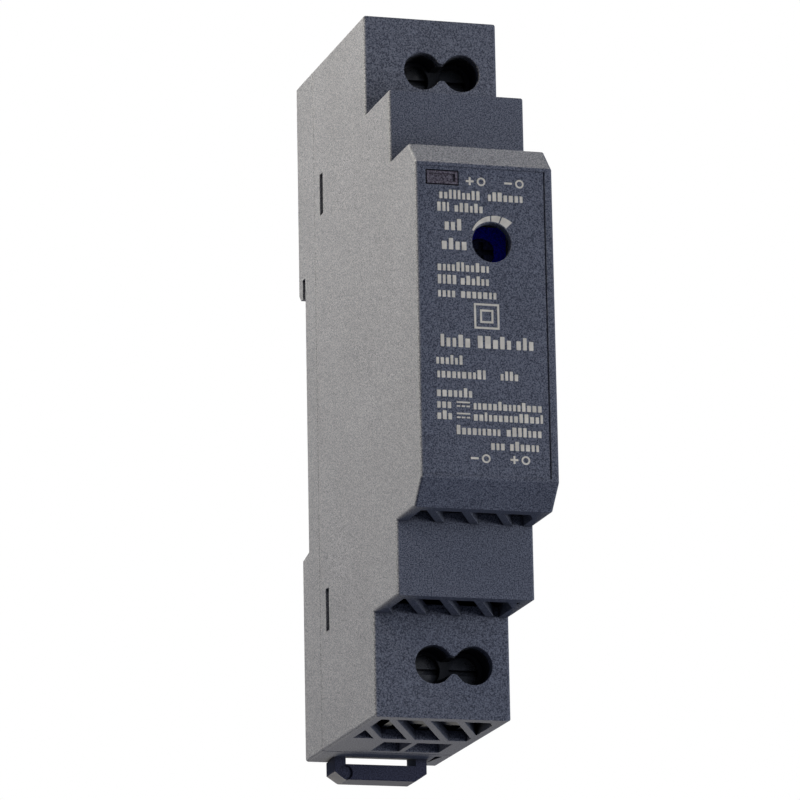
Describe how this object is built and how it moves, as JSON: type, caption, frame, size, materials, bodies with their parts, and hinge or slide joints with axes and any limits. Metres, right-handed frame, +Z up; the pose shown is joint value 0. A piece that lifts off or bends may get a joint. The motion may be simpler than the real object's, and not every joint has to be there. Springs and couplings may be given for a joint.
{
  "type": "din rail power supply",
  "caption": "Slim one-module DIN rail power supply in a stepped grey case, with screw terminals top and bottom, a front voltage adjuster and a sliding rail clip.",
  "frame": {"origin": "centre of the plane where the front faces of the rail's flanges seat, mid height of the rail", "axes": "+Z up along the case's height, +Y into the cabinet towards the rail, +X to the right seen from the front"},
  "size_m": [0.0176, 0.0545, 0.0929],
  "materials": {
    "board_laminate": "solder mask over glass laminate",
    "bobbin_plastic": "moulded phenolic",
    "cage_steel": "zinc plated sheet",
    "can_aluminium": "drawn can",
    "case_plastic": "fine spark-eroded grain, dark blue-grey",
    "chip_ceramic": "sintered, tan",
    "chip_epoxy": "moulded epoxy",
    "clip_plastic": "fine grain, dark navy grey",
    "copper_wire": "enamelled copper wire",
    "disc_coating": "dipped coating",
    "end_cap_ceramic": "ceramic with tinned end caps",
    "ferrite": "ground ferrite",
    "insulation_film": "thin polyester film",
    "led_epoxy": "clear tinted epoxy",
    "plated_steel": "zinc plated",
    "print_ink": "thin printed marks on the front face",
    "rotor_plastic": "moulded, dark blue",
    "sleeve_film": "shrink sleeve",
    "terminal_plastic": "smooth moulded",
    "tinned_brass": "tinned",
    "trimmer_plastic": "glossy blue moulding",
    "window_plastic": "smoked translucent, smooth",
    "yellow_tape": "polyester tape"
  },
  "bodies": {
    "root": {"chip_capacitors": "chip_ceramic", "chip_resistors": "end_cap_ceramic", "contact_bar_input_1": "tinned_brass", "contact_bar_input_2": "tinned_brass", "contact_bar_output_1": "tinned_brass", "contact_bar_output_2": "tinned_brass", "controller_chip": "chip_epoxy", "front_housing": "case_plastic", "input_capacitor_1_can": "can_aluminium", "input_capacitor_1_sleeve": "sleeve_film", "input_capacitor_2_can": "can_aluminium", "input_capacitor_2_sleeve": "sleeve_film", "input_choke_core": "ferrite", "input_choke_winding": "copper_wire", "input_fuse": "end_cap_ceramic", "input_terminal_block": "terminal_plastic", "insulation_sheet": "insulation_film", "isolation_capacitor": "disc_coating", "led_window": "window_plastic", "main_board": "board_laminate", "optocoupler": "chip_epoxy", "output_capacitor_1_can": "can_aluminium", "output_capacitor_1_sleeve": "sleeve_film", "output_capacitor_2_can": "can_aluminium", "output_capacitor_2_sleeve": "sleeve_film", "output_choke_core": "ferrite", "output_choke_winding": "copper_wire", "output_rectifier": "chip_epoxy", "output_terminal_block": "terminal_plastic", "power_led": "led_epoxy", "rear_cover": "case_plastic", "reference_chip": "chip_epoxy", "sense_resistor": "end_cap_ceramic", "snubber_capacitor": "disc_coating", "surge_suppressor": "chip_epoxy", "switching_transistor": "chip_epoxy", "transformer_bobbin": "bobbin_plastic", "transformer_core_lower": "ferrite", "transformer_core_upper": "ferrite", "transformer_primary": "copper_wire", "transformer_secondary": "copper_wire", "transformer_tape": "yellow_tape", "trimmer_body": "trimmer_plastic", "trimmer_pins": "tinned_brass"},
    "din_clip": {"din_clip": "clip_plastic"},
    "trimmer_rotor": {"trimmer_rotor": "rotor_plastic"},
    "terminal_screw_output_1": {"terminal_screw_output_1": "plated_steel"},
    "clamp_cage_output_1": {"clamp_cage_output_1": "cage_steel"},
    "terminal_screw_output_2": {"terminal_screw_output_2": "plated_steel"},
    "clamp_cage_output_2": {"clamp_cage_output_2": "cage_steel"},
    "terminal_screw_input_1": {"terminal_screw_input_1": "plated_steel"},
    "clamp_cage_input_1": {"clamp_cage_input_1": "cage_steel"},
    "terminal_screw_input_2": {"terminal_screw_input_2": "plated_steel"},
    "clamp_cage_input_2": {"clamp_cage_input_2": "cage_steel"}
  },
  "joints": [
    {"name": "clip_slide", "type": "slide", "parent": "root", "child": "din_clip", "axis": [0, 0, -1], "range_m": [0, 0.0045], "stiffness_N_per_m": 1500, "springref_m": -0.0005},
    {"name": "trimmer_turn", "type": "hinge", "parent": "root", "child": "trimmer_rotor", "pos_m": [0.00085, -0.0462, 0.01], "axis": [0, 1, 0], "range_deg": [-135, 135]},
    {"name": "screw_turn_output_1", "type": "hinge", "parent": "root", "child": "terminal_screw_output_1", "pos_m": [-0.00104, -0.0238, 0.0382], "axis": [0, 1, 0], "range_deg": [0, 1730]},
    {"name": "cage_rise_output_1", "type": "slide", "parent": "root", "child": "clamp_cage_output_1", "axis": [0, -1, 0], "range_m": [0, 0.0024]},
    {"name": "screw_turn_output_2", "type": "hinge", "parent": "root", "child": "terminal_screw_output_2", "pos_m": [0.00404, -0.0238, 0.0382], "axis": [0, 1, 0], "range_deg": [0, 1730]},
    {"name": "cage_rise_output_2", "type": "slide", "parent": "root", "child": "clamp_cage_output_2", "axis": [0, -1, 0], "range_m": [0, 0.0024]},
    {"name": "screw_turn_input_1", "type": "hinge", "parent": "root", "child": "terminal_screw_input_1", "pos_m": [-0.00104, -0.0238, -0.0382], "axis": [0, 1, 0], "range_deg": [0, 1730]},
    {"name": "cage_rise_input_1", "type": "slide", "parent": "root", "child": "clamp_cage_input_1", "axis": [0, -1, 0], "range_m": [0, 0.0024]},
    {"name": "screw_turn_input_2", "type": "hinge", "parent": "root", "child": "terminal_screw_input_2", "pos_m": [0.00404, -0.0238, -0.0382], "axis": [0, 1, 0], "range_deg": [0, 1730]},
    {"name": "cage_rise_input_2", "type": "slide", "parent": "root", "child": "clamp_cage_input_2", "axis": [0, -1, 0], "range_m": [0, 0.0024]}
  ],
  "couplings": [
    {"joint": "screw_turn_output_1", "follows": "cage_rise_output_1", "rad_per_m": 12566},
    {"joint": "screw_turn_output_2", "follows": "cage_rise_output_2", "rad_per_m": 12566},
    {"joint": "screw_turn_input_1", "follows": "cage_rise_input_1", "rad_per_m": 12566},
    {"joint": "screw_turn_input_2", "follows": "cage_rise_input_2", "rad_per_m": 12566}
  ]
}
